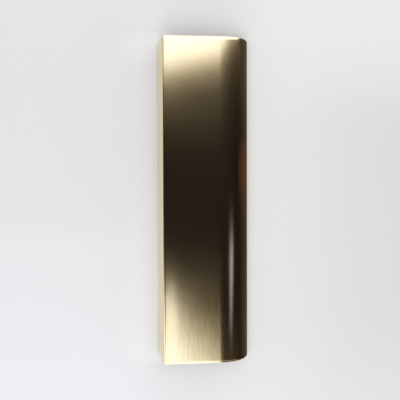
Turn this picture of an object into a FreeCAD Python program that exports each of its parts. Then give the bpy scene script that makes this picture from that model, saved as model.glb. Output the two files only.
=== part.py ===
import FreeCAD, Part
import Sketcher
import math
import os

# Finger pull profile: one cut length of a solid brass section, open at both ends.
#
# Seen along its length the section is a J on its side. A flat plate lies on the
# edge of a door or drawer front. Its back edge turns square into a deep flange,
# which goes behind the front, and its other edge rolls over into a round lip with
# a short straight skirt. Fingers reach up behind the lip.
#
# The part lies as it comes to rest with nothing holding it: open side down, on
# the foot of the flange and on the foot of the lip. The lip is the shallower of
# the two, so the plate slopes down towards it.
#
# Frame: +Z up from the floor, +Y along the profile, +X from flange to lip. The
# origin is on the floor, under the middle of the part's box.

SIZES = {
    "bar_length": 160.0,
    "plate_flat": 28.0,
    "flange_depth": 27.0,
    "lip_radius": 16.5,
    "lip_skirt": 3.5,
    "wall": 3.0,
    "root_radius": 1.5,
    "edge_radius": 1.2,
    "bevel_share": 0.7,
}

NOTES = {
    "bar_length": "cut length of the profile",
    "plate_flat": "flat of the plate, from the flange's outer face to the start of the lip",
    "flange_depth": "from the plate's top face to the flange's foot",
    "lip_radius": "outer radius of the lip's quarter round",
    "lip_skirt": "straight part of the lip below its quarter round",
    "wall": "thickness of plate, flange and lip",
    "root_radius": "inside corner between plate and flange",
    "edge_radius": "rounding of every sharp edge that runs along the profile",
    "bevel_share": "bevel round both sawn ends, as a share of that rounding",
}

NODE = "finger_pull_profile"

# A foot has a round on each side of one wall, so neither takes up half of it.
FULLEST_ROUND = 0.45
ROUNDING = f"min(Sizes.edge_radius; {FULLEST_ROUND} * Sizes.wall)"

# Two faces count as meeting at a sharp edge when their normals differ by more.
SHARP_EDGE_DEGREES = 10.0

# Whatever reaches less than this along the profile lies square across it, in mm.
SQUARE_ACROSS = 0.001

ORIGIN_POINT = (-1, 1)
START = 1
END = 2
CENTRE = 3


def make_sheet(doc):
    """Write each driving size, with its meaning, into one row of the sheet."""
    sheet = doc.addObject("Spreadsheet::Sheet", "Sizes")
    for row, (alias, value) in enumerate(SIZES.items(), start=1):
        sheet.set(f"A{row}", NOTES[alias])
        sheet.set(f"B{row}", str(value))
        sheet.setAlias(f"B{row}", alias)
    doc.recompute()
    return sheet


def origin_plane(body, role):
    """Return the body's own origin plane that has this role."""
    return next(plane for plane in body.Origin.OriginFeatures if plane.Role == role)


def line(x0, z0, x1, z1):
    """Return a straight stretch of the section."""
    return Part.LineSegment(FreeCAD.Vector(x0, z0, 0), FreeCAD.Vector(x1, z1, 0))


def arc(x, z, radius, first_degrees, last_degrees):
    """Return a round stretch of the section, turned anticlockwise."""
    circle = Part.Circle(FreeCAD.Vector(x, z, 0), FreeCAD.Vector(0, 0, 1), radius)
    return Part.ArcOfCircle(circle, math.radians(first_degrees), math.radians(last_degrees))


def draw_section(body, sheet):
    """Draw the J section, with the plate's back top corner at the sketch's origin."""
    sketch = body.newObject("Sketcher::SketchObject", "Section")
    sketch.AttachmentSupport = [(origin_plane(body, "XZ_Plane"), "")]
    sketch.MapMode = "FlatFace"

    wall = sheet.wall
    foot = sheet.flange_depth
    turn = sheet.plate_flat
    radius = sheet.lip_radius
    front = turn + radius
    skirt = radius + sheet.lip_skirt
    root = sheet.root_radius

    flange_outside = sketch.addGeometry(line(0, -foot, 0, 0))
    plate_top = sketch.addGeometry(line(0, 0, turn, 0))
    lip_outside = sketch.addGeometry(arc(turn, -radius, radius, 0, 90))
    skirt_outside = sketch.addGeometry(line(front, -radius, front, -skirt))
    lip_foot = sketch.addGeometry(line(front, -skirt, front - wall, -skirt))
    skirt_inside = sketch.addGeometry(line(front - wall, -skirt, front - wall, -radius))
    lip_inside = sketch.addGeometry(arc(turn, -radius, radius - wall, 0, 90))
    plate_under = sketch.addGeometry(line(turn, -wall, wall + root, -wall))
    root_round = sketch.addGeometry(arc(wall + root, -wall - root, root, 90, 180))
    flange_inside = sketch.addGeometry(line(wall, -wall - root, wall, -foot))
    flange_foot = sketch.addGeometry(line(wall, -foot, 0, -foot))

    smooth_joints = [
        (plate_top, END, lip_outside, END),
        (lip_outside, START, skirt_outside, START),
        (skirt_inside, END, lip_inside, START),
        (lip_inside, END, plate_under, START),
        (plate_under, END, root_round, START),
        (root_round, END, flange_inside, START),
    ]
    corners = [
        (flange_outside, END, plate_top, START),
        (skirt_outside, END, lip_foot, START),
        (lip_foot, END, skirt_inside, START),
        (flange_inside, END, flange_foot, START),
        (flange_foot, END, flange_outside, START),
        (flange_outside, END, *ORIGIN_POINT),
        (lip_outside, CENTRE, lip_inside, CENTRE),
    ]
    for joint in smooth_joints:
        sketch.addConstraint(Sketcher.Constraint("Tangent", *joint))
    for corner in corners:
        sketch.addConstraint(Sketcher.Constraint("Coincident", *corner))
    for upright in (flange_outside, skirt_outside, skirt_inside, flange_inside):
        sketch.addConstraint(Sketcher.Constraint("Vertical", upright))
    for level in (plate_top, lip_foot, plate_under, flange_foot):
        sketch.addConstraint(Sketcher.Constraint("Horizontal", level))

    measured = [
        ("Distance", plate_top, "plate_flat"),
        ("Distance", flange_outside, "flange_depth"),
        ("Radius", lip_outside, "lip_radius"),
        ("Distance", skirt_outside, "lip_skirt"),
        ("Distance", lip_foot, "wall"),
        ("Distance", flange_foot, "wall"),
        ("Radius", root_round, "root_radius"),
    ]
    for kind, stretch, alias in measured:
        value = sheet.getPropertyByName(alias)
        index = sketch.addConstraint(Sketcher.Constraint(kind, stretch, value))
        sketch.setExpression(f"Constraints[{index}]", f"Sizes.{alias}")
    return sketch


def extrude(body, sketch):
    """Run the section out to the cut length, evenly to both sides of the middle."""
    bar = body.newObject("PartDesign::Pad", "Bar")
    bar.Profile = sketch
    bar.Midplane = True
    bar.setExpression("Length", "Sizes.bar_length")
    return bar


def is_sharp(shape, edge):
    """Tell whether the two faces at this edge meet at a corner, not smoothly."""
    faces = shape.ancestorsOfType(edge, Part.Face)
    middle = edge.valueAt((edge.FirstParameter + edge.LastParameter) / 2)
    normals = [face.normalAt(*face.Surface.parameter(middle)) for face in faces]
    return math.degrees(normals[0].getAngle(normals[1])) > SHARP_EDGE_DEGREES


def ease_edges(body, bar):
    """Round the sharp edges that run along the profile."""
    names = [
        f"Edge{i}"
        for i, edge in enumerate(bar.Shape.Edges, start=1)
        if edge.BoundBox.YLength > SQUARE_ACROSS and is_sharp(bar.Shape, edge)
    ]
    eased = body.newObject("PartDesign::Fillet", "EasedEdges")
    eased.Base = (bar, names)
    eased.setExpression("Radius", ROUNDING)
    return eased


def bevel_ends(body, eased):
    """Break the whole outline of both sawn ends with a small flat.

    The flat is narrower than the rounds it runs across, so that no corner of the
    outline comes to a point.
    """
    names = [
        f"Face{i}"
        for i, face in enumerate(eased.Shape.Faces, start=1)
        if face.BoundBox.YLength < SQUARE_ACROSS
    ]
    bevelled = body.newObject("PartDesign::Chamfer", "BevelledEnds")
    bevelled.Base = (eased, names)
    bevelled.setExpression("Size", f"Sizes.bevel_share * {ROUNDING}")
    return bevelled


def lay_at_rest(body):
    """Tilt the bar until both feet are on the floor, and centre it over the origin.

    All four corners of the feet have one radius, so the line from foot to foot has
    the slope between two corners that are a plate's width less one wall apart.
    """
    lip_depth = "(Sizes.lip_radius + Sizes.lip_skirt)"
    front = "(Sizes.plate_flat + Sizes.lip_radius)"
    corner = ROUNDING
    flange_drop = f"(Sizes.flange_depth - {corner})"
    lip_drop = f"({lip_depth} - {corner})"

    derived = {
        "Tilt": ("App::PropertyAngle", "slope of the plate at rest"),
        "HighFoot": ("App::PropertyFloat", "where across the flange's foot it stands"),
        "BackReach": ("App::PropertyFloat", "furthest the part reaches behind the flange's top"),
        "FrontReach": ("App::PropertyFloat", "furthest the part reaches in front of it"),
    }
    for name, (kind, meaning) in derived.items():
        body.addProperty(kind, name, "Rest", meaning)

    body.setExpression("Tilt", f"atan((Sizes.flange_depth - {lip_depth}) / ({front} - Sizes.wall))")
    body.setExpression("HighFoot", f"Tilt >= 0 deg ? Sizes.wall - {corner} : {corner}")
    body.setExpression(
        "BackReach",
        f"min({corner} * cos(Tilt) - {flange_drop} * sin(Tilt);"
        f" {corner} * cos(Tilt) - {corner} * sin(Tilt)) - {corner}",
    )
    body.setExpression(
        "FrontReach",
        f"max(Sizes.plate_flat * cos(Tilt) - Sizes.lip_radius * sin(Tilt) + Sizes.lip_radius;"
        f" ({front} - {corner}) * cos(Tilt) - {lip_drop} * sin(Tilt) + {corner})",
    )

    body.Placement.Rotation = FreeCAD.Rotation(FreeCAD.Vector(0, 1, 0), 1)
    body.setExpression("Placement.Rotation.Angle", "Tilt")
    body.setExpression("Placement.Base.x", "-(BackReach + FrontReach) / 2")
    body.setExpression(
        "Placement.Base.z",
        f"HighFoot * sin(Tilt) + {flange_drop} * cos(Tilt) + {corner}",
    )


def make_pull(doc, sheet):
    """Build the whole profile as one body."""
    body = doc.addObject("PartDesign::Body", "Pull")
    body.Label = NODE
    sketch = draw_section(body, sheet)
    bar = extrude(body, sketch)
    doc.recompute()
    eased = ease_edges(body, bar)
    doc.recompute()
    body.Tip = bevel_ends(body, eased)
    lay_at_rest(body)
    doc.recompute()
    return body


def check(doc, body):
    """Stop with a plain message if anything in the document failed."""
    for item in doc.Objects:
        if "Invalid" in item.State or "Error" in item.State:
            raise RuntimeError(f"{item.Label} failed: {item.State}")
    if body.Shape.isNull() or not body.Shape.isValid():
        raise RuntimeError(f"{body.Label} has no valid shape")


document = FreeCAD.newDocument("FingerPull")
pull = make_pull(document, make_sheet(document))
check(document, pull)
os.makedirs("parts", exist_ok=True)
pull.Shape.exportStep(f"parts/{pull.Label}.step")
box = pull.Shape.optimalBoundingBox(False)
print(f"{pull.Label}: {box.XLength:.2f} x {box.YLength:.2f} x {box.ZLength:.2f} mm,", end=" ")
print(f"{len(pull.Shape.Solids)} solid, {pull.Shape.Volume:.0f} mm3, tilt {pull.Tilt}")
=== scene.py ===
"""Finger pull profile: a cut length of brushed brass section, lying on its two feet on a pale floor."""

import math

import bpy
from bpy.props import FloatProperty, FloatVectorProperty, IntProperty, PointerProperty
from mathutils import Matrix, Vector


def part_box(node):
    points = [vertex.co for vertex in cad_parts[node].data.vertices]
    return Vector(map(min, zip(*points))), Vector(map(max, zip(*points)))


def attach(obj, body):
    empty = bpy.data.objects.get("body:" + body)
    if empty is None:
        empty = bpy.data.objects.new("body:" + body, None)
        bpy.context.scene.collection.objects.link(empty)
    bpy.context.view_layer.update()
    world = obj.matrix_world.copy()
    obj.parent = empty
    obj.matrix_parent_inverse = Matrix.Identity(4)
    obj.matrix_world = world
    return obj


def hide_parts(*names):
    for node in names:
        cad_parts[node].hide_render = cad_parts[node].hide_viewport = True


bl_info = {
    "name": "Finger Pull Profile",
    "version": (1, 0, 0),
    "blender": (4, 5, 0),
    "location": "3D View > Sidebar > Finger Pull",
    "description": "Builds a brushed brass finger pull profile and the plain studio that it lies in",
    "category": "Add Mesh",
}

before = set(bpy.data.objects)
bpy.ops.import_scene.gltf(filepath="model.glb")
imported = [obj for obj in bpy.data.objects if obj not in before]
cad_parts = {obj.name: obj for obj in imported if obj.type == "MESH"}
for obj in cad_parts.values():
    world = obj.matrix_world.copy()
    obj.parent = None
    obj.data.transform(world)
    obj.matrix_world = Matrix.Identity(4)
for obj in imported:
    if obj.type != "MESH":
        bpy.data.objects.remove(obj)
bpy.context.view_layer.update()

NODE = "finger_pull_profile"
BODY = "root"
NODE_LOW, NODE_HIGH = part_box(NODE)

# A foot has a round on each side of one wall, so neither takes up half of it.
FULLEST_ROUND = 0.45

# A pattern's sizes, in metres.
CLOUD_WIDTH = 0.0263
MOTTLE_WIDTH = 0.16667
SAW_LINE_LENGTH = 0.012
SAW_LINE_WIDTH = 0.00025
SAW_LINE_DEPTH = 0.000004

# The lamp hangs nearly plumb over the bar and is much larger than it, so shadows are soft.
LAMP_PLACE = (0.08, -0.09, 1.0)
LAMP_WIDTH = 0.9
LAMP_DEPTH = 0.7
FLOOR_HALF = 6.0
SENSOR_WIDTH = 36.0

# The studio hood is a tunnel along the bar. Its glow is painted on as emission and
# shows only in the brass, as painted reflections; it lights nothing. The glow is
# given by curves through (input, output) points. An edge is a place along the bar
# in mm, for an angle from plumb in degrees. A level is the natural logarithm of
# the glow, for a distance in mm past that edge. A span is how much of the glow is
# left, for an angle. Glows are linear light levels, not surface colours, and may
# pass 1.
HOOD_RADIUS = 0.25
HOOD_HALF = 0.5
HOOD_ANGLES = (-75, 96)
HOOD_STEPS = 90
HOOD_DARK_REFLECTION = (0.0112, 0.008, 0.0072)

# Flat cards on the floor, as (x, y) points in metres, and upright ones past the
# ends. They show in the rounded edges and end bevels.
CARD_HEIGHT = 0.0004
CARD_GLOW = (1.7, 1.75, 1.9)
CARD_ON_FAR_FLOOR = [(-0.018, 0.0812), (0.014, 0.0812), (0.3, 0.367), (0.3, 0.5), (-0.2, 0.5)]
CARD_ON_NEAR_FLOOR = [(-0.018, -0.0812), (-0.2, -0.5), (0.068, -0.5), (0.0095, -0.0812)]
DARK_REFLECTION_BY_LIP = [
    (0.0235, 0.0808), (0.0235, -0.0808), (0.0105, -0.0808), (0.069, -0.5),
    (0.7, -0.5), (0.7, 0.7), (0.302, 0.3675), (0.0155, 0.0808),
]
END_CARD_SIDE = 0.3
NEAR_CARD_STOP = 0.07
# The glow of the dark end cloth, a painted dark reflection past the near end.
DARK_END_REFLECTION = (0.03, 0.025, 0.02)

# The colour of a glow: a tint where it is dim, with the glow up to which it is
# full and the one from which it is gone; then plain; then cool in the glare.
FAR_WARMTH = ((1.33, 0.9, 0.08), 0.18, 1.15)
NEAR_WARMTH = ((1.2, 0.92, 0.36), 0.04, 0.62)
PLAIN_TINT = (1.0, 1.0, 0.98)
GLARE_TINT = (1.0, 1.03, 1.17)
GLARE = (0.9, 1.7)

FAR_EDGE = [
    (-75, 83), (-40, 83), (8, 86.5), (11, 88), (19, 96.5),
    (36, 106.5), (51, 113.5), (63, 118), (81, 121.5), (96, 125.5),
]
FAR_LEVEL = [
    (-75, -7.0), (-50, -5.6), (-33, -4.45), (-22, -3.95), (-15, -3.58), (-8, -2.86),
    (-5, -2.19), (0, -0.67), (4, 0.2), (8, 0.58), (16, 0.66),
]
FAR_SPAN = [
    (-75, 0.4), (-45, 0.42), (-20, 0.72), (0, 0.8), (6, 0.95), (10, 1.0), (28, 1.0), (36, 1.15), (81, 1.1),
]

NEAR_EDGE = [
    (-75, 62), (-45, 70), (-20, 92), (-5, 116), (3, 116), (6, 86), (8, 71.5), (10.6, 79),
    (12.8, 102.8), (15, 114.8), (17.2, 117.0), (18.9, 124.5), (20.5, 142), (24, 155), (36, 174),
]
NEAR_SOFTNESS = [
    (-75, 1.0), (4, 0.6), (10.6, 0.5), (12.8, 0.8), (15, 1.1), (17.2, 1.4), (19.1, 1.5), (24, 1.5),
]
NEAR_LEVEL = [
    (-60, -7.0), (-43, -4.6), (-30, -3.42), (-16, -2.15), (-7.5, -1.3),
    (0, -0.5), (9, 0.0), (23, 0.35), (35, 0.48), (60, 0.5),
]
NEAR_SPAN = [(-75, 0.8), (4, 0.9), (8, 1.0), (20, 1.0), (30, 0.5)]

# The cool strip beside the lip, which the lip shows as a painted highlight: across
# it by angle, and along it by place.
STRIP_RISE = [(50, 0.0), (58.5, 0.9), (62, 1.0)]
STRIP_FALL = [(63.5, 1.0), (69, 0.0)]
STRIP_LEAN = [(-125, 6.0), (-102, 5.0), (-71, 2.5), (-50, 0.6), (-30, 0.0)]
STRIP_LEVEL = [
    (-125, 0.0), (-112, 0.1), (-98, 0.48), (-75, 0.62), (-62, 0.79),
    (-50, 0.76), (-38, 0.3), (-24, 0.06), (-8, 0.0),
]
STRIP_TINT = (0.87, 0.78, 1.12)

# The dark cloth beside the lip, which the lip shows as a painted dark reflection, by places in mm.
DARK_REFLECTION_WARM = [(-24, 0.0), (-12, 0.12), (0, 0.55), (8, 0.92), (15, 1.0), (23, 0.85), (33, 0.0)]
DARK_REFLECTION_CLOSE = [(24, 1.0), (30, 0.9), (38, 0.55), (70, 0.15), (150, 0.0)]
DARK_REFLECTION_PAST_FAR_END = [(45, 0.0), (60, 0.09), (71, 0.15), (80, 0.22), (84, 0.31), (89, 0.58), (120, 0.86)]
DARK_REFLECTION_BY_END = [(-100, 0.9), (-60, 0.45), (0, 0.0), (30, 0.0), (45, 0.25), (65, 0.6), (90, 0.8)]

# Its glow close to the bar and further off: plain, warmed, by the ends, and where those ends are.
DARK_REFLECTION_BESIDE = ((0.064, 0.058, 0.043), (0.118, 0.064, 0.048), (0.11, 0.098, 0.08), DARK_REFLECTION_BY_END)
DARK_REFLECTION_BEYOND = ((0.015, 0.0115, 0.0095), (0.056, 0.027, 0.022), (0.2, 0.142, 0.104), DARK_REFLECTION_PAST_FAR_END)

# The floor's faint mottle, and its cooler part, which is painted cool light, as shares of its colour.
MOTTLE_DARK = (0.99, 0.99, 0.99)
MOTTLE_PALE = (1.01, 1.01, 1.01)
COOLER = (0.985, 1.0, 1.035)

# The part of the floor that is a little cooler, as painted cool light, across it and along it in mm.
FLOOR_COOL = (
    [(-260, 0.0), (-100, 1.0), (-30, 0.75), (30, 0.1), (60, 0.0)],
    [(-260, 0.0), (-110, 1.0), (-40, 0.6), (20, 0.45), (110, 0.35), (260, 0.0)],
)

# Painted shade and painted light on the floor, in the same way: paler at the near
# left, greyer on the right and past the far end, and paler close to the flange,
# which throws light back. Each pair is a part of the floor, across it, and how
# much paler or darker that part is, along it.
FLOOR_SHADE = (
    (
        [(-260, 0.0), (-110, 1.0), (-55, 1.0), (-25, 0.0)],
        [
            (-260, 0.0), (-110, 0.035), (-80, 0.02), (-50, 0.0), (-30, -0.005),
            (-10, -0.042), (40, -0.058), (110, -0.045), (260, 0.0),
        ],
    ),
    (
        [(15, 0.0), (50, 0.5), (100, 1.05), (150, 1.2), (260, 0.0)],
        [
            (-260, 0.0), (-110, -0.08), (-70, -0.125), (-40, -0.14),
            (20, -0.14), (60, -0.07), (110, -0.005), (260, 0.0),
        ],
    ),
    (
        [(-32, 0.0), (0, 1.0), (32, 0.0)],
        [(60, 0.0), (85, -0.02), (110, -0.045), (200, 0.0)],
    ),
    (
        [(-45, 0.0), (-27, 0.8), (-22, 1.2), (-10, 0.0)],
        [(-86, 0.0), (-72, 0.12), (-40, 0.08), (-5, 0.04), (20, 0.01), (65, 0.01), (79, 0.09), (86, 0.0)],
    ),
)

# Names of the attributes that the profile's mesh carries.
GRAIN_MAP = "grain"
OUTWARD = "outward"

# A bar with fewer points than this is a tree that failed.
FEWEST_POINTS = 1000


def length(name, description, default):
    """A size in metres, shown in the scene's own unit."""
    return FloatProperty(
        name=name, description=description, default=default, min=0.0,
        precision=5, subtype="DISTANCE", unit="LENGTH",
    )


def share(name, description, default):
    """A plain number from 0 to 1."""
    return FloatProperty(
        name=name, description=description, default=default, min=0.0, max=1.0, subtype="FACTOR",
    )


def level(name, description, default):
    """A brightness, which may pass 1."""
    return FloatProperty(name=name, description=description, default=default, min=0.0)


def colour(name, description, default):
    """A linear colour."""
    return FloatVectorProperty(
        name=name, description=description, default=default, size=3, min=0.0, max=1.0, subtype="COLOR"
    )


def scene_point(name, description, default):
    """A place in the scene, in metres."""
    return FloatVectorProperty(
        name=name, description=description, default=default, size=3,
        subtype="TRANSLATION", unit="LENGTH", precision=5,
    )


def linear(sheet_colour):
    """Turn a hex colour such as "C8B8A0" into linear red, green and blue."""
    parts = [int(sheet_colour[i : i + 2], 16) / 255 for i in (0, 2, 4)]
    return tuple(p / 12.92 if p <= 0.04045 else ((p + 0.055) / 1.055) ** 2.4 for p in parts)


class ProfileSizes(bpy.types.PropertyGroup):
    """Sizes of the brass section, the same as in the solid part."""

    bar_length: length("Bar length", "Cut length of the profile", NODE_HIGH.y - NODE_LOW.y)
    plate_flat: length("Plate flat", "Flat of the plate, from the flange's outer face to the lip", 0.028)
    flange_depth: length("Flange depth", "From the plate's top face to the flange's foot", 0.027)
    lip_radius: length("Lip radius", "Outer radius of the lip's quarter round", 0.0165)
    lip_skirt: length("Lip skirt", "Straight part of the lip below its quarter round", 0.0035)
    wall: length("Wall", "Thickness of plate, flange and lip", 0.003)
    root_radius: length("Root radius", "Inside corner between plate and flange", 0.0015)
    edge_radius: length("Edge radius", "Rounding of the edges that run along the profile", 0.0012)
    end_bevel: length("End bevel", "Flat that breaks the outline of both sawn ends", 0.00084)
    bevel_round: length("Bevel rounding", "How softly that flat meets the faces beside it", 0.0003)
    roll_off_width: length("Roll-off width", "Strip by the flange that polishing has worn down", 0.008)
    roll_off_depth: length("Roll-off depth", "How far the plate's back edge is worn down", 0.00012)
    arc_steps: IntProperty(
        name="Arc steps", description="Facets in the lip's quarter round", default=48, min=6, max=96,
    )


class BrassFinish(bpy.types.PropertyGroup):
    """Colour and polish of the brass."""

    brass: colour("Brass", "Colour of the clean metal", linear("E6D7B1"))
    roughness: share("Roughness", "Satin of the long faces", 0.165)
    cross_spread: share("Cross spread", "How much wider reflections blur across the brushing", 0.15)
    sawn_roughness: share("Sawn roughness", "Satin of the two sawn ends", 0.3)
    streak_width: length("Streak width", "Spacing of the brush marks that show", 0.0008)
    streak_length: length("Streak length", "How long one brush mark runs", 0.009)
    streak_depth: length("Streak depth", "Depth of a brush mark", 0.0000016)
    streak_tone: share("Streak tone", "How much less a brush mark reflects than the metal beside it", 0.12)
    wave_width: length("Wave width", "Spacing of the slight waves left by hand polishing", 0.005)
    wave_depth: length("Wave depth", "Depth of those waves", 0.000002)
    grain_width: length("Grain width", "Spacing of the finest brushed grain", 0.00012)


class StudioSettings(bpy.types.PropertyGroup):
    """Floor, light, reflection cards and camera."""

    floor: colour("Floor", "Colour of the matt floor", linear("E8E8E8"))
    sky: colour("Sky", "Colour of the pale studio all round", linear("CECECF"))
    lamp_watts: FloatProperty(
        name="Lamp", description="Power of the large soft lamp", default=5.3, min=0.0, unit="POWER",
    )
    end_card: level("End card", "Brightness of the hood past the far end", 1.0)
    near_card: level("Near card", "Brightness of the hood past the near end", 1.0)
    lip_card: level("Lip card", "Brightness of the narrow strip beside the lip", 0.85)
    camera_place: scene_point("Camera place", "Where the camera stands", (0.00907, 0.01658, 0.44715))
    camera_aim: scene_point("Camera aim", "Point on the floor that it looks at", (-0.0011, -0.00052, 0.0))
    camera_roll: FloatProperty(
        name="Camera roll", description="Turn of the picture about the line of sight",
        default=math.radians(-0.167), subtype="ANGLE", unit="ROTATION",
    )
    camera_lens: FloatProperty(
        name="Lens", description="Focal length, for a 36 mm sensor", default=78.25, min=1.0, unit="CAMERA",
    )


# The kinds of node used most. Map Range takes, in order, the value, the low and
# high that it comes from and the low and high that it goes to.
MATH = "ShaderNodeMath"
VECTOR_MATH = "ShaderNodeVectorMath"
MAP_RANGE = "ShaderNodeMapRange"
MIX = "ShaderNodeMix"
COMBINE = "ShaderNodeCombineXYZ"
SEPARATE = "ShaderNodeSeparateXYZ"
NOISE = "ShaderNodeTexNoise"
SET_POSITION = "GeometryNodeSetPosition"
SAMPLE = "GeometryNodeSampleIndex"
STORE = "GeometryNodeStoreNamedAttribute"

VECTOR_AT_POINT = {"data_type": "FLOAT_VECTOR", "domain": "POINT"}
MAP_AT_CORNER = {"data_type": "FLOAT2", "domain": "CORNER"}


def fill(tree, node, inputs):
    """Fill a node's inputs, in order or by name: a node or a socket is linked, the rest are plain values."""
    for key, value in inputs.items() if isinstance(inputs, dict) else enumerate(inputs):
        socket = node.inputs[key]
        if isinstance(value, bpy.types.Node):
            value = value.outputs[0]
        if isinstance(value, bpy.types.NodeSocket):
            tree.links.new(value, socket)
        else:
            socket.default_value = (*value, 1.0) if socket.type == "RGBA" else value


def add(tree, kind, inputs=(), **settings):
    """Add a node with its settings, and fill its inputs."""
    node = tree.nodes.new(kind)
    for name, value in settings.items():
        setattr(node, name, value)
    fill(tree, node, inputs)
    return node


def one_each(tree, values, kind="FLOAT"):
    """Give each point in turn one of these values."""
    switch = add(tree, "GeometryNodeIndexSwitch", data_type=kind)
    while len(switch.index_switch_items) < len(values):
        switch.index_switch_items.new()
    fill(tree, switch, (add(tree, "GeometryNodeInputIndex"), *values))
    return switch


def new_tree(name, inputs, output):
    """A geometry node tree with these named inputs, and the sockets that they arrive on."""
    tree = bpy.data.node_groups.new(name, "GeometryNodeTree")
    for label, kind in inputs.items():
        tree.interface.new_socket(name=label, in_out="INPUT", socket_type=kind)
    tree.interface.new_socket(name=output, in_out="OUTPUT", socket_type="NodeSocketGeometry")
    return tree, add(tree, "NodeGroupInput").outputs


SECTION_SIZES = (
    "Plate flat",
    "Flange depth",
    "Lip radius",
    "Lip skirt",
    "Wall",
    "Root radius",
    "Edge radius",
)
BAR_SIZES = ("Bar length", "End bevel", "Bevel rounding", "Roll-off width", "Roll-off depth")

# Facets in each small rounding, and the points put into each longer straight run.
CORNER_STEPS = 8
BEVEL_STEPS = 5
LONG_RUN = 0.004
LONG_RUN_CUTS = 23.0
MERGE_DISTANCE = 2e-6


def section_tree():
    """A node group that draws the J section, drawn in by any distance, in the XY plane.

    The section is eight square corners, each with a radius. Drawn in, a corner
    moves into the metal along both of its edges. Its radius gets smaller by as
    much where it points outwards, and larger in the two inside corners.
    """
    tree, size = new_tree("J section", {
        **dict.fromkeys((*SECTION_SIZES, "Inset"), "NodeSocketFloat"),
        "Arc steps": "NodeSocketInt",
    }, "Curve")
    wall, edge, inset, steps = size["Wall"], size["Edge radius"], size["Inset"], size["Arc steps"]
    lip, root = size["Lip radius"], size["Root radius"]

    front = add(tree, MATH, (size["Plate flat"], lip), operation="ADD")
    lip_inside = add(tree, MATH, (front, wall), operation="SUBTRACT")
    lip_inner = add(tree, MATH, (lip, wall), operation="SUBTRACT")
    lip_drop = add(tree, MATH, (lip, size["Lip skirt"]), operation="ADD")
    lip_foot, flange_foot, under = (
        add(tree, MATH, (drop, -1.0), operation="MULTIPLY") for drop in (lip_drop, size["Flange depth"], wall)
    )

    # One value for each corner, from the flange's outer foot round to its inner foot.
    across = one_each(tree, (0.0, 0.0, front, front, lip_inside, lip_inside, wall, wall))
    height = one_each(tree, (flange_foot, 0.0, 0.0, lip_foot, lip_foot, under, under, flange_foot))
    radius = one_each(tree, (edge, edge, lip, edge, edge, lip_inner, root, edge))
    into_x = one_each(tree, (1.0, 1.0, -1.0, -1.0, 1.0, 1.0, -1.0, -1.0))
    into_y = one_each(tree, (1.0, -1.0, -1.0, 1.0, 1.0, 1.0, 1.0, 1.0))
    grows = one_each(tree, (-1.0, -1.0, -1.0, -1.0, -1.0, 1.0, 1.0, -1.0))
    small = CORNER_STEPS
    arc = one_each(tree, (small, small, steps, small, small, steps, small, small), "INT")

    place = add(tree, COMBINE, (
        add(tree, MATH, (into_x, inset, across), operation="MULTIPLY_ADD"),
        add(tree, MATH, (into_y, inset, height), operation="MULTIPLY_ADD"),
    ))
    corners = add(tree, "GeometryNodeCurvePrimitiveCircle", {"Resolution": 8}, mode="RADIUS")
    corners = add(tree, SET_POSITION, {"Geometry": corners, "Position": place})
    rounded = add(tree, "GeometryNodeFilletCurve", {
        "Curve": corners,
        "Count": arc,
        "Radius": add(tree, MATH, (grows, inset, radius), operation="MULTIPLY_ADD"),
    }, mode="POLY")

    # Long straight runs get points of their own, so that polishing can wear the plate down.
    here = add(tree, "GeometryNodeInputPosition")
    onward = add(tree, "GeometryNodeOffsetPointInCurve", {
        "Point Index": add(tree, "GeometryNodeInputIndex"),
        "Offset": 1,
    }).outputs["Point Index"]
    there = add(tree, "GeometryNodeFieldAtIndex", {"Index": onward, "Value": here}, **VECTOR_AT_POINT)
    run = add(tree, VECTOR_MATH, (here, there), operation="DISTANCE").outputs["Value"]
    is_long = add(tree, MATH, (run, LONG_RUN), operation="GREATER_THAN")
    cuts = add(tree, MATH, (is_long, LONG_RUN_CUTS), operation="MULTIPLY")
    split = add(tree, "GeometryNodeSubdivideCurve", {"Curve": rounded, "Cuts": cuts})
    add(tree, "NodeGroupOutput", {"Curve": split})
    return tree


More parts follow.
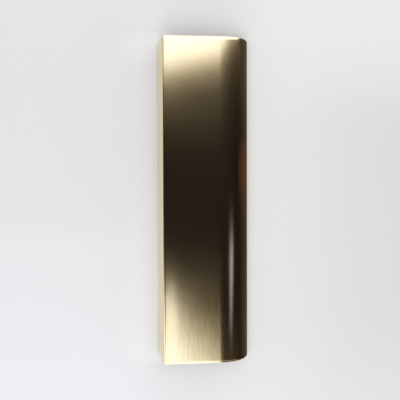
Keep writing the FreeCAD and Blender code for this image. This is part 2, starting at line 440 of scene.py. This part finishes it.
def profile_tree(satin, sawn):
    """A node tree that runs the J section out to a bar with softly bevelled ends.

    Every ring of the bar is the section, drawn in by some distance, at some place
    along the bar. The end path gives both: it starts on one sawn end, turns over
    the bevel, follows the bar and ends on the other sawn end.
    """
    section = section_tree()
    tree, size = new_tree("Finger pull profile", {
        "Geometry": "NodeSocketGeometry",
        **dict.fromkeys((*SECTION_SIZES, *BAR_SIZES), "NodeSocketFloat"),
        "Arc steps": "NodeSocketInt",
        "Tilt": "NodeSocketVector",
        "Rest place": "NodeSocketVector",
    }, "Geometry")
    position = add(tree, "GeometryNodeInputPosition")
    index = add(tree, "GeometryNodeInputIndex")

    def section_drawn_in(inset):
        """The bar's own section, drawn in this far."""
        sizes = {name: size[name] for name in (*SECTION_SIZES, "Arc steps")}
        return add(tree, "GeometryNodeGroup", {**sizes, "Inset": inset}, node_tree=section)

    bevel, rounding = size["End bevel"], size["Bevel rounding"]
    inside = add(tree, MATH, (bevel, rounding), operation="ADD")
    outline = section_drawn_in(0.0)
    drawn_in = section_drawn_in(bevel)

    # The end path: how far each ring is drawn in, and how far along the bar it is.
    end = add(tree, MATH, (size["Bar length"], 0.5), operation="MULTIPLY")
    shoulder = add(tree, MATH, (end, bevel), operation="SUBTRACT")
    room = add(tree, MATH, (rounding, 3.0), operation="MULTIPLY")
    past = add(tree, MATH, (shoulder, room), operation="SUBTRACT")
    stations = [
        (inside, end, -1.0),
        (bevel, end, -1.0),
        (0.0, shoulder, -1.0),
        (0.0, past, -1.0),
        (0.0, past, 1.0),
        (0.0, shoulder, 1.0),
        (bevel, end, 1.0),
        (inside, end, 1.0),
    ]
    turns = [
        add(tree, COMBINE, (inset, add(tree, MATH, (along, side), operation="MULTIPLY")))
        for inset, along, side in stations
    ]
    path = add(tree, "GeometryNodeMeshLine", {"Count": len(stations)}, mode="OFFSET")
    path = add(tree, "GeometryNodeMeshToCurve", {"Mesh": path})
    path = add(tree, SET_POSITION, {"Geometry": path, "Position": one_each(tree, turns, "VECTOR")})
    path = add(tree, "GeometryNodeFilletCurve", {
        "Curve": path, "Count": BEVEL_STEPS, "Radius": rounding,
    }, mode="POLY")

    # A grid of points: a column for each point of the section, and a row for each ring.
    round_count, ring_count = (
        add(tree, "GeometryNodeAttributeDomainSize", {
            "Geometry": curve,
        }, component="CURVE").outputs["Point Count"]
        for curve in (outline, path)
    )
    columns = add(tree, MATH, (round_count, 1.0), operation="ADD")
    grid = add(tree, "GeometryNodeMeshGrid", {"Vertices X": columns, "Vertices Y": ring_count})
    column = add(tree, MATH, (index, 0.5), operation="ADD")
    column = add(tree, MATH, (column, ring_count), operation="DIVIDE")
    column = add(tree, MATH, [column], operation="FLOOR")
    before = add(tree, MATH, (column, ring_count), operation="MULTIPLY")
    ring = add(tree, MATH, (index, before), operation="SUBTRACT")
    corner = add(tree, MATH, (column, round_count), operation="MODULO")

    outer, inner = (
        add(tree, SAMPLE, {"Geometry": curve, "Value": position, "Index": corner}, **VECTOR_AT_POINT)
        for curve in (outline, drawn_in)
    )
    station, heading = (
        add(tree, SEPARATE, [
            add(tree, SAMPLE, {"Geometry": path, "Value": value, "Index": ring}, **VECTOR_AT_POINT),
        ]).outputs
        for value in (position, add(tree, "GeometryNodeInputTangent"))
    )
    inwards = add(tree, VECTOR_MATH, (inner, outer), operation="SUBTRACT")
    part = add(tree, MATH, (station[0], bevel), operation="DIVIDE")
    drawn = add(tree, VECTOR_MATH, {0: inwards, "Scale": part}, operation="SCALE")
    flat_place = add(tree, VECTOR_MATH, (outer, drawn), operation="ADD")
    flat_place = add(tree, SEPARATE, [flat_place]).outputs
    place = add(tree, COMBINE, (flat_place[0], station[1], flat_place[1]))

    # The way the surface faces: the section's own normal, turned over the bevel.
    out = add(tree, VECTOR_MATH, [inwards], operation="NORMALIZE")
    out = add(tree, SEPARATE, [out]).outputs
    outwards = add(tree, MATH, (heading[1], -1.0), operation="MULTIPLY")
    facing = add(tree, COMBINE, (
        add(tree, MATH, (out[0], outwards), operation="MULTIPLY"),
        heading[0],
        add(tree, MATH, (out[1], outwards), operation="MULTIPLY"),
    ))

    # Distance round the section, for the grain; the last column closes the loop.
    walked = add(tree, SAMPLE, {
        "Geometry": outline,
        "Value": add(tree, "GeometryNodeSplineParameter").outputs["Length"],
        "Index": corner,
    }, data_type="FLOAT", domain="POINT")
    whole = add(tree, "GeometryNodeCurveLength", {"Curve": outline})
    last = add(tree, MATH, (round_count, 0.5), operation="SUBTRACT")
    closing = add(tree, MATH, (column, last), operation="GREATER_THAN")
    walked = add(tree, MATH, (closing, whole, walked), operation="MULTIPLY_ADD")
    grain = add(tree, COMBINE, (walked, station[1]))
    grain = add(tree, "GeometryNodeFieldOnDomain", {"Value": grain}, **VECTOR_AT_POINT)

    sides = add(tree, STORE, {"Geometry": grid, "Name": OUTWARD, "Value": facing}, **VECTOR_AT_POINT)
    sides = add(tree, STORE, {"Geometry": sides, "Name": GRAIN_MAP, "Value": grain}, **MAP_AT_CORNER)
    sides = add(tree, SET_POSITION, {"Geometry": sides, "Position": place})
    sides = add(tree, "GeometryNodeSetMaterial", {"Geometry": sides, "Material": satin})

    def sawn_end(side):
        """The flat of one sawn end, filled inside its last ring."""
        face = add(tree, "GeometryNodeFillCurve", {"Curve": section_drawn_in(inside)}, mode="NGONS")
        face = add(tree, STORE, {"Geometry": face, "Name": GRAIN_MAP, "Value": position}, **MAP_AT_CORNER)
        out_of_end = add(tree, COMBINE, {"Y": side})
        face = add(tree, STORE, {"Geometry": face, "Name": OUTWARD, "Value": out_of_end}, **VECTOR_AT_POINT)
        if side > 0:
            face = add(tree, "GeometryNodeFlipFaces", {"Mesh": face})
        shift = add(tree, COMBINE, {"Y": add(tree, MATH, (end, side), operation="MULTIPLY")})
        face = add(tree, "GeometryNodeTransform", {
            "Geometry": face, "Translation": shift, "Rotation": (math.pi / 2, 0.0, 0.0),
        })
        return add(tree, "GeometryNodeSetMaterial", {"Geometry": face, "Material": sawn})

    joined = add(tree, "GeometryNodeJoinGeometry")
    for piece in (sides, sawn_end(-1.0), sawn_end(1.0)):
        tree.links.new(piece.outputs[0], joined.inputs[0])
    bar = add(tree, "GeometryNodeMergeByDistance", {"Geometry": joined, "Distance": MERGE_DISTANCE})

    # Polishing wears the plate's back edge down in a shallow curve.
    spot = add(tree, SEPARATE, [position]).outputs
    width = size["Roll-off width"]
    reach = add(tree, MATH, (width, spot["X"]), operation="SUBTRACT")
    on_strip = add(tree, MATH, (reach, 0.0), operation="GREATER_THAN")
    mid_wall = add(tree, MATH, (size["Wall"], -0.5), operation="MULTIPLY")
    on_top = add(tree, MATH, (spot["Z"], mid_wall), operation="GREATER_THAN")
    worn = add(tree, MATH, (on_strip, on_top), operation="MULTIPLY")
    width_squared = add(tree, MATH, (width, 2.0), operation="POWER")
    curve = add(tree, MATH, (size["Roll-off depth"], width_squared), operation="DIVIDE")
    slope = add(tree, MATH, (curve, reach), operation="MULTIPLY")
    sunk = add(tree, MATH, (slope, reach), operation="MULTIPLY")
    sunk = add(tree, MATH, (sunk, -1.0), operation="MULTIPLY")
    sunk = add(tree, MATH, (sunk, worn), operation="MULTIPLY")
    lean = add(tree, MATH, (slope, -2.0), operation="MULTIPLY")
    lean = add(tree, MATH, (lean, worn), operation="MULTIPLY")
    faced = add(tree, "GeometryNodeInputNamedAttribute", {"Name": OUTWARD}, data_type="FLOAT_VECTOR")
    faced = add(tree, SEPARATE, [faced]).outputs
    leaned = add(tree, COMBINE, (
        add(tree, MATH, (lean, faced["Z"], faced["X"]), operation="MULTIPLY_ADD"), faced["Y"], faced["Z"],
    ))
    bar = add(tree, STORE, {"Geometry": bar, "Name": OUTWARD, "Value": leaned}, **VECTOR_AT_POINT)
    bar = add(tree, SET_POSITION, {"Geometry": bar, "Offset": add(tree, COMBINE, {"Z": sunk})})
    bar = add(tree, "GeometryNodeTransform", {
        "Geometry": bar, "Translation": size["Rest place"], "Rotation": size["Tilt"],
    })
    bar = add(tree, "GeometryNodeRealizeInstances", {"Geometry": bar})
    add(tree, "NodeGroupOutput", {"Geometry": bar})
    return tree


def new_material(name):
    """An empty material and its node tree."""
    material = bpy.data.materials.new(name)
    material.use_nodes = True
    material.node_tree.nodes.clear()
    return material, material.node_tree


def stretched_noise(tree, vector, across, along, detail=2.0):
    """Noise drawn out along the bar: one mark is across wide and along long, in metres."""
    drawn_out = add(tree, "ShaderNodeMapping", {"Vector": vector, "Scale": (1 / across, 1 / along, 1.0)})
    return add(tree, NOISE, {
        "Vector": drawn_out, "Scale": 1.0, "Detail": detail, "Roughness": 0.55,
    }, noise_dimensions="2D")


def satin_brass(finish):
    """Solid brass, satin brushed along the bar."""
    # Brushing gives the eye soft reflections, a little wider across the lines than
    # along them, with longer marks and slight waves from polishing by hand. Satin
    # lines are too fine to show from here, so the marks that show are drawn about
    # 0.8 mm apart, over a grain of 0.12 mm.
    material, tree = new_material("satin_brass_brushed_along")
    grain = add(tree, "ShaderNodeUVMap", uv_map=GRAIN_MAP)
    place = add(tree, "ShaderNodeTexCoord").outputs["Object"]

    streaks = stretched_noise(tree, grain, finish.streak_width, finish.streak_length)
    waves = stretched_noise(tree, grain, finish.wave_width, finish.wave_width * 14, detail=1.0)
    fine = stretched_noise(tree, grain, finish.grain_width, finish.grain_width * 60, detail=3.0)

    # Handling leaves broad, faint clouds in the polish.
    clouds = add(tree, NOISE, {"Vector": place, "Scale": 1 / CLOUD_WIDTH, "Detail": 3.0})
    polish = add(tree, MAP_RANGE, (clouds, 0.3, 0.7, finish.roughness - 0.012, finish.roughness + 0.012))
    brushing = add(tree, MAP_RANGE, (fine, 0.3, 0.7, -0.01, 0.01))
    rough = add(tree, MATH, (polish, brushing), operation="ADD")
    warmer = tuple(c * k for c, k in zip(finish.brass, (1.0, 0.985, 0.95)))
    tone = add(tree, MIX, {"Factor": clouds, "A": finish.brass, "B": warmer}, data_type="RGBA")

    # The brush marks show most near one end and beside the lip, and fade away from both.
    across, along, _ = add(tree, SEPARATE, [place]).outputs
    fresh = add(tree, MAP_RANGE, (across, -0.016, 0.004, 0.4, 1.0))
    for fade in (
        add(tree, MAP_RANGE, (along, -0.04, 0.04, 1.0, 0.25)),
        add(tree, MAP_RANGE, (across, 0.009, 0.013, 1.0, 0.15)),
    ):
        fresh = add(tree, MATH, (fresh, fade), operation="MULTIPLY")
    mark = add(tree, MAP_RANGE, (streaks, 0.35, 0.65, -finish.streak_tone / 2, finish.streak_tone / 2))
    mark = add(tree, MATH, (mark, fresh, 1.0), operation="MULTIPLY_ADD")
    tone = add(tree, VECTOR_MATH, {0: tone.outputs["Result"], "Scale": mark}, operation="SCALE")

    brushed = add(tree, "ShaderNodeBump", {
        "Height": streaks, "Strength": fresh, "Distance": finish.streak_depth,
    })
    waved = add(tree, "ShaderNodeBump", {
        "Height": waves, "Strength": 1.0, "Distance": finish.wave_depth, "Normal": brushed,
    })
    metal = add(tree, "ShaderNodeBsdfPrincipled", {
        "Base Color": tone,
        "Metallic": 1.0,
        "Roughness": rough,
        "Specular Tint": linear("FFFCF1"),
        "Anisotropic": finish.cross_spread,
        "Normal": waved,
        "Tangent": add(tree, "ShaderNodeTangent", direction_type="UV_MAP", uv_map=GRAIN_MAP),
    })
    add(tree, "ShaderNodeOutputMaterial", {"Surface": metal})
    return material


def sawn_brass(finish):
    """The two cut ends: brass, sawn and rubbed down afterwards."""
    # The saw leaves fine cross lines, so the ends shine less than the long faces.
    # They are drawn 0.25 mm apart, coarser than a fine saw's, so that they show.
    material, tree = new_material("sawn_brass_ends")
    cut = add(tree, "ShaderNodeUVMap", uv_map=GRAIN_MAP)
    lines = stretched_noise(tree, cut, SAW_LINE_LENGTH, SAW_LINE_WIDTH, detail=3.0)
    low, high = finish.sawn_roughness - 0.04, finish.sawn_roughness + 0.06
    metal = add(tree, "ShaderNodeBsdfPrincipled", {
        "Base Color": finish.brass,
        "Metallic": 1.0,
        "Roughness": add(tree, MAP_RANGE, (lines, 0.3, 0.7, low, high)),
        "Normal": add(tree, "ShaderNodeBump", {"Height": lines, "Strength": 1.0, "Distance": SAW_LINE_DEPTH}),
    })
    add(tree, "ShaderNodeOutputMaterial", {"Surface": metal})
    return material


def rest_pose(sizes):
    """How far the bar tips to stand on both feet, and where its back top corner then is."""
    corner = min(sizes.edge_radius, FULLEST_ROUND * sizes.wall)
    lip_depth = sizes.lip_radius + sizes.lip_skirt
    front = sizes.plate_flat + sizes.lip_radius
    tilt = math.atan2(sizes.flange_depth - lip_depth, front - sizes.wall)
    c, s = math.cos(tilt), math.sin(tilt)
    back_reach = min(corner * c - (sizes.flange_depth - corner) * s, corner * c - corner * s) - corner
    front_reach = max(
        sizes.plate_flat * c - sizes.lip_radius * s + sizes.lip_radius,
        (front - corner) * c - (lip_depth - corner) * s + corner,
    )
    high_foot = sizes.wall - corner if tilt >= 0 else corner
    height = high_foot * s + (sizes.flange_depth - corner) * c + corner
    return tilt, (-(back_reach + front_reach) / 2, 0.0, height)


class FINGERPULL_OT_profile(bpy.types.Operator):
    """Build the brass profile with a geometry node tree, and keep it as a plain mesh"""

    bl_idname = "finger_pull.profile"
    bl_label = "Build Profile"
    bl_options = {"REGISTER", "UNDO"}

    def execute(self, context):
        sizes = context.scene.finger_pull_sizes
        finish = context.scene.finger_pull_finish
        tree = profile_tree(satin_brass(finish), sawn_brass(finish))
        tilt, place = rest_pose(sizes)
        values = {
            "Plate flat": sizes.plate_flat,
            "Flange depth": sizes.flange_depth,
            "Lip radius": sizes.lip_radius,
            "Lip skirt": sizes.lip_skirt,
            "Wall": sizes.wall,
            "Root radius": sizes.root_radius,
            "Edge radius": min(sizes.edge_radius, FULLEST_ROUND * sizes.wall),
            "Bar length": sizes.bar_length,
            "End bevel": sizes.end_bevel,
            "Bevel rounding": sizes.bevel_round,
            "Roll-off width": sizes.roll_off_width,
            "Roll-off depth": sizes.roll_off_depth,
            "Arc steps": sizes.arc_steps,
            "Tilt": (0.0, tilt, 0.0),
            "Rest place": place,
        }
        maker = bpy.data.objects.new("profile_maker", bpy.data.meshes.new("profile_maker"))
        context.scene.collection.objects.link(maker)
        modifier = maker.modifiers.new("Profile", "NODES")
        modifier.node_group = tree
        identifiers = {s.name: s.identifier for s in tree.interface.items_tree if s.in_out == "INPUT"}
        for name, value in values.items():
            modifier[identifiers[name]] = value
        context.view_layer.update()
        graph = context.evaluated_depsgraph_get()
        mesh = bpy.data.meshes.new_from_object(maker.evaluated_get(graph))
        bpy.data.objects.remove(maker)
        if len(mesh.vertices) < FEWEST_POINTS:
            raise RuntimeError("the profile's node tree made no bar")

        mesh.name = "brass_profile"
        mesh.shade_smooth()
        turn = Matrix.Rotation(tilt, 3, "Y")
        facing = [turn @ Vector(v.vector) for v in mesh.attributes[OUTWARD].data]
        mesh.normals_split_custom_set_from_vertices([v.normalized() for v in facing])
        mesh.attributes.remove(mesh.attributes[OUTWARD])
        bar = bpy.data.objects.new("brass_profile", mesh)
        context.scene.collection.objects.link(bar)
        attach(bar, BODY)
        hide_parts(NODE)
        return {"FINISHED"}


def stage_mesh(name, points, faces, material):
    """A mesh of the stage, in one material."""
    mesh = bpy.data.meshes.new(name)
    mesh.from_pydata(points, [], faces)
    mesh.materials.append(material)
    sheet = bpy.data.objects.new(name, mesh)
    bpy.context.scene.collection.objects.link(sheet)
    return sheet


def flat_card(name, outline, material):
    """A card that lies just over the floor, inside this outline of (x, y) points."""
    points = [(x, y, CARD_HEIGHT) for x, y in outline]
    return stage_mesh(name, points, [range(len(points))], material)


def end_card(name, y, left, right, material):
    """An upright card that closes one end of the hood from left to right."""
    points = [(left, y, 0.0), (right, y, 0.0), (right, y, HOOD_RADIUS), (left, y, HOOD_RADIUS)]
    return stage_mesh(name, points, [range(4)], material)


def show_only_in_brass(sheet):
    """A card that only shows in the brass: it lights nothing and hides nothing."""
    sheet.visible_camera = False
    sheet.visible_diffuse = False
    sheet.visible_transmission = False
    sheet.visible_shadow = False


def hood(name, material):
    """A tunnel along the bar, open below."""
    first, last = HOOD_ANGLES
    angles = [math.radians(first + (last - first) / HOOD_STEPS * i) for i in range(HOOD_STEPS + 1)]
    points = [
        (HOOD_RADIUS * math.sin(angle), y, HOOD_RADIUS * math.cos(angle))
        for angle in angles for y in (-HOOD_HALF, HOOD_HALF)
    ]
    faces = [(2 * i, 2 * i + 1, 2 * i + 3, 2 * i + 2) for i in range(HOOD_STEPS)]
    return stage_mesh(name, points, faces, material)


def curve_of(tree, value, points):
    """Follow a smooth curve through these (input, output) points, level past both ends."""
    low, high = min(y for _, y in points), max(y for _, y in points)
    first, last = points[0][0], points[-1][0]
    node = add(tree, "ShaderNodeFloatCurve", {"Value": add(tree, MAP_RANGE, (value, first, last, 0.0, 1.0))})
    spots = [((x - first) / (last - first), (y - low) / (high - low)) for x, y in points]
    line = node.mapping.curves[0]
    line.points[0].location = spots[0]
    line.points[1].location = spots[-1]
    for spot in spots[1:-1]:
        line.points.new(*spot)
    for point in line.points:
        point.handle_type = "AUTO_CLAMPED"
    node.mapping.update()
    return add(tree, MATH, (node, high - low, low), operation="MULTIPLY_ADD")


def seen_in_brass_first(tree, glow):
    """Show this glow to the camera by way of the brass, and let light from the floor pass."""
    bounced = add(tree, "ShaderNodeLightPath").outputs["Diffuse Depth"]
    passes = add(tree, MATH, (bounced, 0.5), operation="GREATER_THAN")
    lit = add(tree, "ShaderNodeEmission", {"Color": glow, "Strength": 1.0})
    mixed = add(tree, "ShaderNodeMixShader", (passes, lit, add(tree, "ShaderNodeBsdfTransparent")))
    add(tree, "ShaderNodeOutputMaterial", {"Surface": mixed})


def warm_where_dim(tree, glow, tint, dim, bright):
    """Colour a glow: with this tint where it is dim, plain where it is bright, cool in its glare."""
    for low, high, brighter_tint in ((dim, bright, PLAIN_TINT), (*GLARE, GLARE_TINT)):
        tint = add(tree, MIX, {
            "Factor": add(tree, MAP_RANGE, (glow, low, high, 0.0, 1.0)), "A": tint, "B": brighter_tint,
        }, data_type="RGBA").outputs["Result"]
    return add(tree, VECTOR_MATH, {0: tint, "Scale": glow}, operation="SCALE")


def in_mm(tree):
    """Where a point of the stage is: across the bar, along it and up, in mm."""
    place = add(tree, "ShaderNodeTexCoord").outputs["Object"]
    place = add(tree, VECTOR_MATH, {0: place, "Scale": 1000.0}, operation="SCALE")
    return add(tree, SEPARATE, [place]).outputs


def hood_glow(settings):
    """Dark cloth with a painted glow past both ends and one narrow cool strip beside the lip."""
    material, tree = new_material("studio_hood")
    across, along, up = in_mm(tree)
    angle = add(tree, MATH, (across, up), operation="ARCTAN2")
    angle = add(tree, MATH, [angle], operation="DEGREES")

    # Past the far end: the light's edge runs away from the bar beside the lip.
    far = add(tree, MATH, (along, curve_of(tree, angle, FAR_EDGE)), operation="SUBTRACT")
    far = add(tree, MATH, [curve_of(tree, far, FAR_LEVEL)], operation="EXPONENT")
    for part in (curve_of(tree, angle, FAR_SPAN), settings.end_card):
        far = add(tree, MATH, (far, part), operation="MULTIPLY")

    # Past the near end: its edge is sharp by the flange and soft by the lip.
    near = add(tree, MATH, (along, -1.0), operation="MULTIPLY")
    near = add(tree, MATH, (near, curve_of(tree, angle, NEAR_EDGE)), operation="SUBTRACT")
    near = add(tree, MATH, (near, curve_of(tree, angle, NEAR_SOFTNESS)), operation="DIVIDE")
    near = add(tree, MATH, [curve_of(tree, near, NEAR_LEVEL)], operation="EXPONENT")
    for part in (curve_of(tree, angle, NEAR_SPAN), settings.near_card):
        near = add(tree, MATH, (near, part), operation="MULTIPLY")

    # The strip beside the lip: it narrows from its floor side towards the near end.
    leaned = add(tree, MATH, (angle, curve_of(tree, along, STRIP_LEAN)), operation="ADD")
    strip = curve_of(tree, angle, STRIP_RISE)
    for part in (curve_of(tree, leaned, STRIP_FALL), curve_of(tree, along, STRIP_LEVEL), settings.lip_card):
        strip = add(tree, MATH, (strip, part), operation="MULTIPLY")

    # The hood's dark base glow, a painted dark reflection, with the painted glows added to it.
    total = HOOD_DARK_REFLECTION
    for glow in (
        warm_where_dim(tree, far, *FAR_WARMTH),
        warm_where_dim(tree, near, *NEAR_WARMTH),
        add(tree, VECTOR_MATH, {0: STRIP_TINT, "Scale": strip}, operation="SCALE"),
    ):
        total = add(tree, VECTOR_MATH, (total, glow), operation="ADD")
    seen_in_brass_first(tree, total)
    return material


def painted_dark_reflection():
    """Painted dark reflection: nearly black cloth on the floor by the lip, paler near it, warm mid-way."""
    material, tree = new_material("painted_dark_reflection")
    across, along, _ = in_mm(tree)
    warm = curve_of(tree, along, DARK_REFLECTION_WARM)
    tones = []
    for plain, warmed, by_ends, ends in (DARK_REFLECTION_BESIDE, DARK_REFLECTION_BEYOND):
        tone = add(tree, MIX, {"Factor": warm, "A": plain, "B": warmed}, data_type="RGBA")
        tone = add(tree, MIX, {
            "Factor": curve_of(tree, along, ends), "A": tone.outputs["Result"], "B": by_ends,
        }, data_type="RGBA")
        tones.append(tone.outputs["Result"])
    beside, beyond = tones
    # Close to the lip the painted dark reflection takes the paler tone, further off the darker one.
    cloth = add(tree, MIX, {
        "Factor": curve_of(tree, across, DARK_REFLECTION_CLOSE), "A": beyond, "B": beside,
    }, data_type="RGBA")
    seen_in_brass_first(tree, cloth.outputs["Result"])
    return material


def plain_glow(name, tint):
    """A card of one even glow."""
    material, tree = new_material(name)
    seen_in_brass_first(tree, tint)
    return material


def matt_floor(tint):
    """Matt white laminate, in broad soft painted shade and light that isn't the same all over."""
    # Matt laminate has no gloss to see: its faint mottle and the painted shade are all that shows.
    material, tree = new_material("matt_pale_floor")
    place = add(tree, "ShaderNodeTexCoord").outputs["Object"]
    mottle = add(tree, NOISE, {"Vector": place, "Scale": 1 / MOTTLE_WIDTH, "Detail": 2.0})
    across, along, _ = in_mm(tree)
    # The cooler part is a painted cool cast of light over the near left of the floor.
    cool_part, cool_depth = FLOOR_COOL
    cool = add(tree, MATH, (
        curve_of(tree, across, cool_part), curve_of(tree, along, cool_depth),
    ), operation="MULTIPLY")
    darker, paler, cooler = (
        tuple(min(1.0, c * k) for c, k in zip(tint, change)) for change in (MOTTLE_DARK, MOTTLE_PALE, COOLER)
    )
    tone = add(tree, MIX, {"Factor": mottle, "A": darker, "B": paler}, data_type="RGBA")
    tone = add(tree, MIX, {"Factor": cool, "A": tone.outputs["Result"], "B": cooler}, data_type="RGBA")
    # Painted shade and painted light: each part of the floor is made darker or paler.
    shade = 1.0
    for part, depth in FLOOR_SHADE:
        here, deep = curve_of(tree, across, part), curve_of(tree, along, depth)
        shade = add(tree, MATH, (here, deep, shade), operation="MULTIPLY_ADD")
    surface = add(tree, "ShaderNodeBsdfPrincipled", {
        "Base Color": add(tree, VECTOR_MATH, {0: tone.outputs["Result"], "Scale": shade}, operation="SCALE"),
        "Roughness": 0.9,
        "Specular IOR Level": 0.0,
    })
    add(tree, "ShaderNodeOutputMaterial", {"Surface": surface})
    return material


def place_camera(settings):
    """The camera, nearly plumb above the bar."""
    data = bpy.data.cameras.new("camera")
    data.lens = settings.camera_lens
    data.sensor_width = SENSOR_WIDTH
    camera = bpy.data.objects.new("camera", data)
    bpy.context.scene.collection.objects.link(camera)
    place, aim = Vector(settings.camera_place), Vector(settings.camera_aim)
    back = (place - aim).normalized()
    right = Vector((0.0, 1.0, 0.0)).cross(back).normalized()
    up = back.cross(right)
    turn = Matrix((right, up, back)).transposed() @ Matrix.Rotation(settings.camera_roll, 3, "Z")
    camera.matrix_world = Matrix.Translation(place) @ turn.to_4x4()
    bpy.context.scene.camera = camera


class FINGERPULL_OT_studio(bpy.types.Operator):
    """Set out the pale floor, the soft light, the cards that show in the brass, and the camera"""

    bl_idname = "finger_pull.studio"
    bl_label = "Set Out Studio"
    bl_options = {"REGISTER", "UNDO"}

    def execute(self, context):
        scene = context.scene
        settings = scene.finger_pull_studio
        scene.view_settings.view_transform = "Standard"

        world = bpy.data.worlds.new("pale_studio")
        world.use_nodes = True
        world.node_tree.nodes["Background"].inputs["Color"].default_value = (*settings.sky, 1.0)
        world.node_tree.nodes["Background"].inputs["Strength"].default_value = 1.0
        scene.world = world

        floor = [(x * FLOOR_HALF, y * FLOOR_HALF, 0.0) for x, y in ((-1, -1), (1, -1), (1, 1), (-1, 1))]
        stage_mesh("floor", floor, [range(4)], matt_floor(settings.floor))

        lamp = bpy.data.lights.new("soft_lamp", "AREA")
        lamp.shape = "RECTANGLE"
        lamp.size, lamp.size_y = LAMP_WIDTH, LAMP_DEPTH
        lamp.energy = settings.lamp_watts
        lamp_object = bpy.data.objects.new("soft_lamp", lamp)
        scene.collection.objects.link(lamp_object)
        lamp_object.visible_glossy = False
        lamp_object.visible_camera = False
        lamp_object.location = LAMP_PLACE
        lamp_object.rotation_euler = Vector(LAMP_PLACE).to_track_quat("Z", "Y").to_euler()

        self.put_cards(settings)
        place_camera(settings)
        return {"FINISHED"}

    def put_cards(self, settings):
        """Dark hood over the bar, dark cloth by its lip, bright cards past the ends: painted reflections."""
        bright = plain_glow("bright_card", CARD_GLOW)
        # The dark end cloth glows only in the brass, as a painted dark reflection past the near end.
        end_dark_reflection = plain_glow("painted_dark_end_reflection", DARK_END_REFLECTION)
        side, near_stop = END_CARD_SIDE, NEAR_CARD_STOP
        cards = [
            hood("hood", hood_glow(settings)),
            flat_card("painted_dark_reflection_by_lip", DARK_REFLECTION_BY_LIP, painted_dark_reflection()),
            flat_card("card_on_far_floor", CARD_ON_FAR_FLOOR, bright),
            flat_card("card_on_near_floor", CARD_ON_NEAR_FLOOR, bright),
            end_card("card_past_far_end", HOOD_HALF, -side, side, bright),
            end_card("card_past_near_end", -HOOD_HALF, -side, near_stop, bright),
            end_card("painted_dark_reflection_past_near_end", -HOOD_HALF, near_stop, side, end_dark_reflection),
        ]
        for card in cards:
            show_only_in_brass(card)


class FINGERPULL_PT_panel(bpy.types.Panel):
    """Sizes, finish and studio of the finger pull"""

    bl_idname = "FINGERPULL_PT_panel"
    bl_label = "Finger Pull Profile"
    bl_space_type = "VIEW_3D"
    bl_region_type = "UI"
    bl_category = "Finger Pull"

    def draw(self, context):
        for group, operator in (
            (context.scene.finger_pull_sizes, None),
            (context.scene.finger_pull_finish, FINGERPULL_OT_profile.bl_idname),
            (context.scene.finger_pull_studio, FINGERPULL_OT_studio.bl_idname),
        ):
            column = self.layout.column(align=True)
            for name in type(group).__annotations__:
                column.prop(group, name)
            if operator:
                self.layout.operator(operator)


CLASSES = (
    ProfileSizes,
    BrassFinish,
    StudioSettings,
    FINGERPULL_OT_profile,
    FINGERPULL_OT_studio,
    FINGERPULL_PT_panel,
)


def register():
    for cls in CLASSES:
        bpy.utils.register_class(cls)
    bpy.types.Scene.finger_pull_sizes = PointerProperty(type=ProfileSizes)
    bpy.types.Scene.finger_pull_finish = PointerProperty(type=BrassFinish)
    bpy.types.Scene.finger_pull_studio = PointerProperty(type=StudioSettings)


def unregister():
    del bpy.types.Scene.finger_pull_studio
    del bpy.types.Scene.finger_pull_finish
    del bpy.types.Scene.finger_pull_sizes
    for cls in reversed(CLASSES):
        bpy.utils.unregister_class(cls)


def main():
    """Build everything in order."""
    register()
    bpy.ops.finger_pull.profile()
    bpy.ops.finger_pull.studio()


if __name__ == "__main__":
    main()
